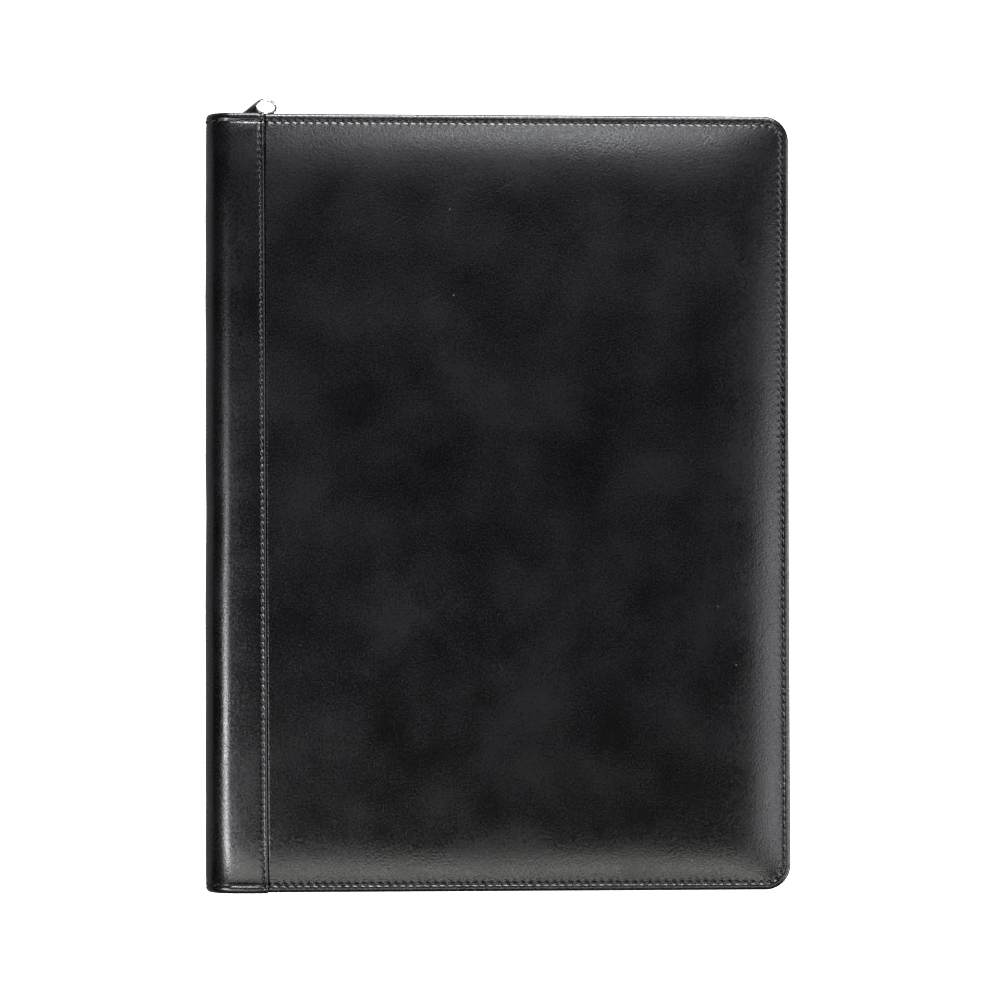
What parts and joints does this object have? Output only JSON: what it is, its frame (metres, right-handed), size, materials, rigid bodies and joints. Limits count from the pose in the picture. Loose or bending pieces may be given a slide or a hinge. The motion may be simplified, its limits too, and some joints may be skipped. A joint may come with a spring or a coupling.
{
  "type": "leather document case",
  "caption": "Closed zip-around document case for A4 papers: padded leather covers, a lapped leather spine, a zip round the free sides and a drop-shaped pull.",
  "frame": {"origin": "middle of the flat face of the back cover, on which the case lies", "axes": "+X from the spine to the zipped side, +Y from the bottom end to the top end, +Z from the back cover up to the front cover"},
  "size_m": [0.256, 0.3473, 0.0265],
  "materials": {
    "cover_leather": "smooth black leather with a soft gloss and a fine grain",
    "zip_tape": "matt black woven tape",
    "zip_metal": "nickel-plated teeth and slider",
    "pull_metal": "polished nickel"
  },
  "bodies": {
    "case": {"front_cover": "cover_leather", "back_cover": "cover_leather", "spine_wrap": "cover_leather", "zip_tape_front": "zip_tape", "zip_tape_back": "zip_tape", "zip_chain": "zip_metal", "zip_bottom_stop": "zip_metal", "zip_slider": "zip_metal"},
    "pull": {"zip_pull": "pull_metal"}
  },
  "joints": [
    {"name": "pull_swing", "type": "hinge", "parent": "case", "child": "pull", "pos_m": [-0.115, 0.1666, 0.0122], "axis": [0, 0, 1], "range_deg": [0, 100]}
  ]
}
